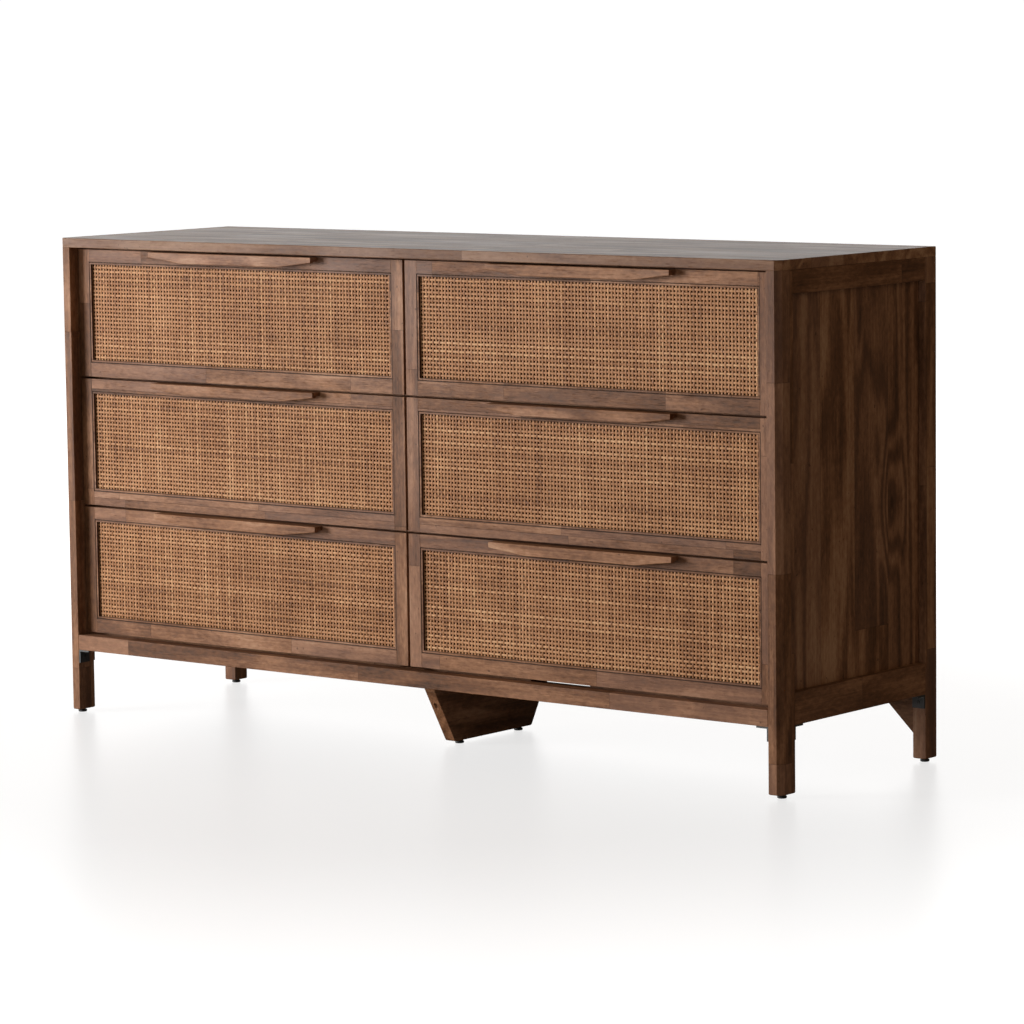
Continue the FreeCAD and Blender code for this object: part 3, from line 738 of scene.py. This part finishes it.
for number, drawer in enumerate(drawerNames):
    low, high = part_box(drawer + "_cane_panel")
    settings = {
        "Width": high.x - low.x - caneFit["edgeGap"],
        "Height": high.z - low.z - caneFit["edgeGap"],
        "Seed": caneFit["firstSeed"] + number * caneFit["seedStep"],
        "Finish": caneStrands,
        **weaveLook,
    }
    panel = meshFromTree(drawer + "_cane", caneWeave, settings)
    centre = Vector(((low.x + high.x) / 2, low.y + caneFit["frontGap"], (low.z + high.z) / 2))
    panel.data.transform(Matrix.Translation(centre) @ Matrix.Rotation(math.pi / 2, 4, "X"))
    backing = bpy.data.meshes.new("backing")
    backingBoard(Vector((low.x, low.y + caneFit["backingGap"], low.z)), high).to_mesh(backing)
    joined = bmesh.new()
    joined.from_mesh(panel.data)
    first = len(joined.faces)
    joined.from_mesh(backing)
    joined.faces.ensure_lookup_table()
    for face in joined.faces[first:]:
        face.material_index = 1
    joined.to_mesh(panel.data)
    panel.data.materials.append(caneShadeBacking)
    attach(panel, drawer)
    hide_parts(drawer + "_cane_panel")
print("cane woven for", len(drawerNames), "drawers")


# screws and feet
fixings = {
    "headRadius": 0.0035,
    "headHeight": 0.0016,
    "shankRadius": 0.0015,
    "shankLength": 0.011,
    "recessDepth": 0.0010,
    "armReach": 0.62,          # of the head's radius
    "armSpread": 0.9,          # larger is narrower
    "recessCore": 0.2,
    # the head from its rim to its middle, as shares of its radius and height
    "headRim": ((0.98, 0.0), (1.0, 0.25), (0.93, 0.62), (0.74, 0.9)),
    "headFace": ((0.61, 0.96), (0.56, 0.97), (0.19, 1.0), (0.1, 1.0)),
    "screwSides": 16,
    "mergeGap": 0.00001,
    "backSpacing": 0.13,
    "backInset": 0.012,
    "trayBoard": 0.015,        # thickness of the tray's front board
    "trayAcross": (0.10, 0.5, 0.90),
    "trayUp": (0.25, 0.75),
    "caseSeed": 5,
    "footSeed": 6,
    "backSeed": 7,
    "frontSeed": 20,           # the first drawer's, one more for each drawer after it
}

footLook = {
    # radius and height of each step from the floor up, as shares of the foot's own size
    "steps": ((0.80, 0.0), (0.94, 0.08), (1.0, 0.24), (1.0, 0.48), (0.93, 0.60), (0.72, 0.66), (0.72, 1.0)),
    "sides": 40,
}


def lathe(name, steps, sides, dent=None):
    # rings of points about z joined by faces, closed at both ends
    shape = bmesh.new()
    rings = []
    for radius, height in steps:
        ring = []
        for i in range(sides):
            angle = 2 * math.pi * i / sides
            drop = dent(radius, angle) if dent else 0.0
            place = (radius * math.cos(angle), radius * math.sin(angle), height - drop)
            ring.append(shape.verts.new(place))
        rings.append(ring)
    for lower, upper in zip(rings, rings[1:]):
        for i in range(sides):
            j = (i + 1) % sides
            shape.faces.new((lower[i], lower[j], upper[j], upper[i]))
    shape.faces.new(reversed(rings[0]))
    shape.faces.new(rings[-1])
    bmesh.ops.recalc_face_normals(shape, faces=shape.faces[:])
    for face in shape.faces:
        face.smooth = len(face.verts) == 4
    mesh = bpy.data.meshes.new(name)
    shape.to_mesh(mesh)
    return bpy.data.objects.new(name, mesh)


def crossRecess(radius, angle):
    # the four arms of a cross-head recess
    nearArm = abs(math.cos(2 * angle)) > fixings["armSpread"]
    inside = radius < fixings["headRadius"] * fixings["armReach"]
    core = radius < fixings["headRadius"] * fixings["recessCore"]
    return fixings["recessDepth"] if inside and (nearArm or core) else 0.0


def panHeadScrew():
    shank, length = fixings["shankRadius"], fixings["shankLength"]
    steps = [(shank * 0.3, -length), (shank, length * -0.8), (shank, 0.0)]
    for acrossShare, upShare in fixings["headRim"] + fixings["headFace"]:
        steps.append((fixings["headRadius"] * acrossShare, fixings["headHeight"] * upShare))
    return lathe("pan head screw", steps, fixings["screwSides"], crossRecess)


def placingTree():
    # puts one small part on every point, turned to face along the point's own direction
    tree = bpy.data.node_groups.new("placed parts", "GeometryNodeTree")
    tree.interface.new_socket("Points", in_out="INPUT", socket_type="NodeSocketGeometry")
    tree.interface.new_socket("Part", in_out="INPUT", socket_type="NodeSocketObject")
    tree.interface.new_socket("Finish", in_out="INPUT", socket_type="NodeSocketMaterial")
    tree.interface.new_socket("Turn Seed", in_out="INPUT", socket_type="NodeSocketInt")
    tree.interface.new_socket("Mesh", in_out="OUTPUT", socket_type="NodeSocketGeometry")
    placing = Tree(tree)
    entry = placing.node("NodeGroupInput").socket.node
    given = {socket.name: Wire(placing, socket) for socket in entry.outputs if socket.name}
    part = placing.node("GeometryNodeObjectInfo", {}, {"Object": given["Part"]}, output="Geometry")
    settings = {"data_type": "FLOAT_VECTOR"}
    facing = placing.node("GeometryNodeInputNamedAttribute", settings, {"Name": "facing"})
    limits = {2: 0.0, 3: 6.28, "Seed": given["Turn Seed"]}
    spin = placing.node("FunctionNodeRandomValue", {"data_type": "FLOAT"}, limits, output=1)
    aimed = placing.node("FunctionNodeAlignRotationToVector", {"axis": "Z"}, {"Vector": facing})
    turn = placing.node("FunctionNodeAxisAngleToRotation", {}, {"Axis": (0.0, 0.0, 1.0), "Angle": spin})
    turned = placing.node("FunctionNodeRotateRotation", {"rotation_space": "LOCAL"}, {0: aimed, 1: turn})
    values = {"Points": given["Points"], "Instance": part, "Rotation": turned}
    placed = placing.node("GeometryNodeInstanceOnPoints", {}, values)
    placed = placing.node("GeometryNodeRealizeInstances", {}, {"Geometry": placed})
    placed = placing.node("GeometryNodeSetMaterial", {}, {"Geometry": placed, "Material": given["Finish"]})
    placing.node("NodeGroupOutput", {}, {"Mesh": placed})
    return tree


placedParts = placingTree()


def placeParts(name, part, finish, spots, body, seed):
    # spots are pairs of a place and the direction that the part faces
    base = bpy.data.meshes.new(name + " points")
    base.from_pydata([tuple(place) for place, facing in spots], [], [])
    facings = base.attributes.new("facing", "FLOAT_VECTOR", "POINT")
    facings.data.foreach_set("vector", [value for place, facing in spots for value in facing])
    made = meshFromTree(name, placedParts, {"Part": part, "Finish": finish, "Turn Seed": seed}, base)
    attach(made, body)
    return made


def looseBoxes(name):
    # lowest and highest corner of each separate solid in a node
    copy = bmesh.new()
    copy.from_mesh(nodes[name].data)
    bmesh.ops.remove_doubles(copy, verts=copy.verts[:], dist=fixings["mergeGap"])
    left = set(copy.verts)
    boxes = []
    while left:
        group = [left.pop()]
        for vert in group:
            for edge in vert.link_edges:
                other = edge.other_vert(vert)
                if other in left:
                    left.remove(other)
                    group.append(other)
        low = Vector(min(v.co[i] for v in group) for i in range(3))
        high = Vector(max(v.co[i] for v in group) for i in range(3))
        boxes.append((low, high))
    copy.free()
    return sorted(boxes, key=lambda pair: tuple(round(value, 4) for value in pair[0]))


screwPart = panHeadScrew()
footPart = lathe("foot", footLook["steps"], footLook["sides"])

# case screws: the head sits at the end of each solid that stands clear of the wood
legs = [(a + b) / 2 for a, b in (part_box(name) for name in nodes if "_leg_" in name)]
screwSpots = []
for low, high in looseBoxes("screws"):
    middle, size = (low + high) / 2, high - low
    long = max(range(3), key=lambda i: size[i])
    facing = Vector((0.0, 0.0, 0.0))
    nearest = min(legs, key=lambda leg: (Vector((leg.x, leg.y, middle.z)) - middle).length)
    facing[long] = -1.0 if long == 2 else math.copysign(1.0, middle[long] - nearest[long])
    seat = middle.copy()
    seat[long] = (high[long] if facing[long] > 0 else low[long]) - facing[long] * fixings["headHeight"]
    screwSpots.append((seat, facing))
caseSeed, footSeed, backSeed = fixings["caseSeed"], fixings["footSeed"], fixings["backSeed"]
caseScrews = placeParts("case_screws", screwPart, screwSteel, screwSpots, "carcass", caseSeed)
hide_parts("screws")

footSpots = []
for low, high in looseBoxes("glides"):
    footSpots.append((Vector(((low.x + high.x) / 2, (low.y + high.y) / 2, 0.0)), (0.0, 0.0, 1.0)))
    footRadius, footHeight = (high.x - low.x) / 2, high.z
footPart.data.transform(Matrix.Diagonal((footRadius, footRadius, footHeight, 1.0)))
feet = placeParts("feet", footPart, glideNylon, footSpots, "carcass", footSeed)
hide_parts("glides")

# screws round the edge of the back, into the legs and rails
backLow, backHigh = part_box("back_panel")
inset = fixings["backInset"]
left, right = backLow.x + inset, backHigh.x - inset
foot, head = backLow.z + inset, backHigh.z - inset
acrossCount = round((right - left) / fixings["backSpacing"])
upCount = round((head - foot) / fixings["backSpacing"])
backSpots = []
for i in range(acrossCount + 1):
    backSpots += [(left + (right - left) * i / acrossCount, height) for height in (foot, head)]
for i in range(1, upCount):
    backSpots += [(side, foot + (head - foot) * i / upCount) for side in (left, 0.0, right)]
backSpots = [(Vector((x, backHigh.y, z)), (0.0, 1.0, 0.0)) for x, z in backSpots]
placeParts("back_screws", screwPart, screwSteel, backSpots, "carcass", backSeed)

# screws that hold each drawer front, seen inside the tray
for number, drawer in enumerate(drawerNames):
    low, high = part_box(drawer + "_tray")
    inner = low.y + fixings["trayBoard"]
    spots = []
    for shareX in fixings["trayAcross"]:
        for shareZ in fixings["trayUp"]:
            x = low.x + (high.x - low.x) * shareX
            z = low.z + (high.z - low.z) * shareZ
            spots.append((Vector((x, inner, z)), (0.0, 1.0, 0.0)))
    seed = fixings["frontSeed"] + number
    placeParts(drawer + "_front_screws", screwPart, screwSteel, spots, drawer, seed)
print("screws and feet placed:", len(screwSpots) + len(backSpots), "case screws,", len(footSpots), "feet")


# lights
studio = {
    "keyPlace": (-4.0, -4.2, 1.3),
    "keySize": (2.2, 2.2),
    "keyPower": 425.0,
    "backPlace": (-5.0, 6.2, 1.6),
    "backSize": (7.0, 3.0),
    "backPower": 130.0,
    "fillColour": (1.0, 0.80, 0.56),
    "fillPlace": (5.0, 1.0, 2.5),
    "fillSize": (3.0, 3.0),
    "fillPower": 23.0,
    "frontPlace": (1.8, -7.5, 1.4),
    "frontSize": (3.0, 2.0),
    "frontPower": 72.0,
    "skyLight": 0.07,
    "skySeen": 1.02,           # what the camera sees behind the dresser
}


def softBox(name, spot, size, power, colour=(1.0, 1.0, 1.0), target=(0.0, 0.0, 0.45)):
    light = bpy.data.lights.new(name, "AREA")
    light.shape = "RECTANGLE"
    light.size, light.size_y = size
    light.energy = power
    light.color = colour
    box = bpy.data.objects.new(name, light)
    box.location = spot
    box.rotation_euler = (Vector(target) - Vector(spot)).to_track_quat("-Z", "Y").to_euler()
    box.visible_camera = False
    bpy.context.scene.collection.objects.link(box)


softBox("key light", studio["keyPlace"], studio["keySize"], studio["keyPower"])
softBox("front light", studio["frontPlace"], studio["frontSize"], studio["frontPower"])
softBox("back light", studio["backPlace"], studio["backSize"], studio["backPower"])
softBox("fill light", studio["fillPlace"], studio["fillSize"], studio["fillPower"], studio["fillColour"])

world = bpy.data.worlds.new("studio")
bpy.context.scene.world = world
world.use_nodes = True
sky = Tree(world.node_tree)
world.node_tree.nodes.clear()
seen = sky.node("ShaderNodeLightPath")
strength = studio["skyLight"] + seen * (studio["skySeen"] - studio["skyLight"])
tint = sky.mix(seen, studio["fillColour"], (1.0, 1.0, 1.0))
air = sky.node("ShaderNodeBackground", {}, {"Color": tint, "Strength": strength})
sky.node("ShaderNodeOutputWorld", {}, {"Surface": air})

# pale floor: it glows for the camera, with a painted shadow that dims the glow beside the dresser, and is
# plain to the light it gives back
floorLook = {
    "reach": 60.0,
    "paintedShadowGlow": 0.75,
    "farGlow": 1.02,
    "nearEdge": 0.9,
    "farEdge": 2.3,
    "cloudGlow": 0.01,
    "warmth": (1.0, 0.993, 0.988),
    "seen": (0.14, 0.14, 0.14, 1.0),
    "plain": (0.55, 0.54, 0.53, 1.0),
    "plainGloss": 0.6,
    "cloud": (3.0, 3.0, 3.0),
    "gloss": 0.34,
    "shine": 0.03,
}

reach = floorLook["reach"]
corners = [(-reach, -reach, 0.0), (reach, -reach, 0.0), (reach, reach, 0.0), (-reach, reach, 0.0)]
floorMesh = bpy.data.meshes.new("floor")
floorMesh.from_pydata(corners, [], [(0, 1, 2, 3)])
floor = bpy.data.objects.new("floor", floorMesh)
bpy.context.scene.collection.objects.link(floor)
paint = Finish("pale floor")
floorMesh.materials.append(paint.material)
seen = paint.node("ShaderNodeLightPath")
cloud = paint.noise(paint.place, floorLook["cloud"], 2.0, 0.5)
x, y, z = paint.split(paint.place)
away = paint.maths("SQRT", x * x + y * y)
# painted shadow: the glow is dimmest beside the dresser and rises to full further out
clearOfPaintedShadow = paint.smooth(away, floorLook["nearEdge"], floorLook["farEdge"])
glow = floorLook["paintedShadowGlow"] + clearOfPaintedShadow * (floorLook["farGlow"] - floorLook["paintedShadowGlow"])
glow = glow + (cloud - 0.5) * floorLook["cloudGlow"]
glowColour = paint.combine(*(glow * share for share in floorLook["warmth"]))
values = {"Base Color": floorLook["seen"], "Roughness": floorLook["gloss"]}
values.update({"Specular IOR Level": floorLook["shine"]})
values.update({"Emission Color": glowColour, "Emission Strength": 1.0})
glowing = paint.node("ShaderNodeBsdfPrincipled", {}, values)
values = {"Base Color": floorLook["plain"], "Roughness": floorLook["plainGloss"]}
plain = paint.node("ShaderNodeBsdfPrincipled", {}, values)
mixed = paint.node("ShaderNodeMixShader", {}, {0: seen, 1: plain, 2: glowing})
paint.node("ShaderNodeOutputMaterial", {}, {"Surface": mixed})

cameraLook = {
    "place": (4.8054, -5.9468, 1.2773),
    "turn": 0.6729,
    "tilt": -0.1145,
    "lean": -0.0124,
    "lens": 153.4,
    "sensor": 36.0,
    "clip": 200.0,
}
lens = bpy.data.cameras.new("camera")
lens.lens = cameraLook["lens"]
lens.sensor_width = cameraLook["sensor"]
lens.clip_end = cameraLook["clip"]
camera = bpy.data.objects.new("camera", lens)
turn = Matrix.Rotation(cameraLook["turn"], 4, "Z")
tilt = Matrix.Rotation(math.pi / 2 + cameraLook["tilt"], 4, "X")
lean = Matrix.Rotation(cameraLook["lean"], 4, "Z")
camera.matrix_world = Matrix.Translation(cameraLook["place"]) @ turn @ tilt @ lean
bpy.context.scene.collection.objects.link(camera)
bpy.context.scene.camera = camera
bpy.context.scene.view_settings.view_transform = "Standard"
print("floor, lights and camera set")
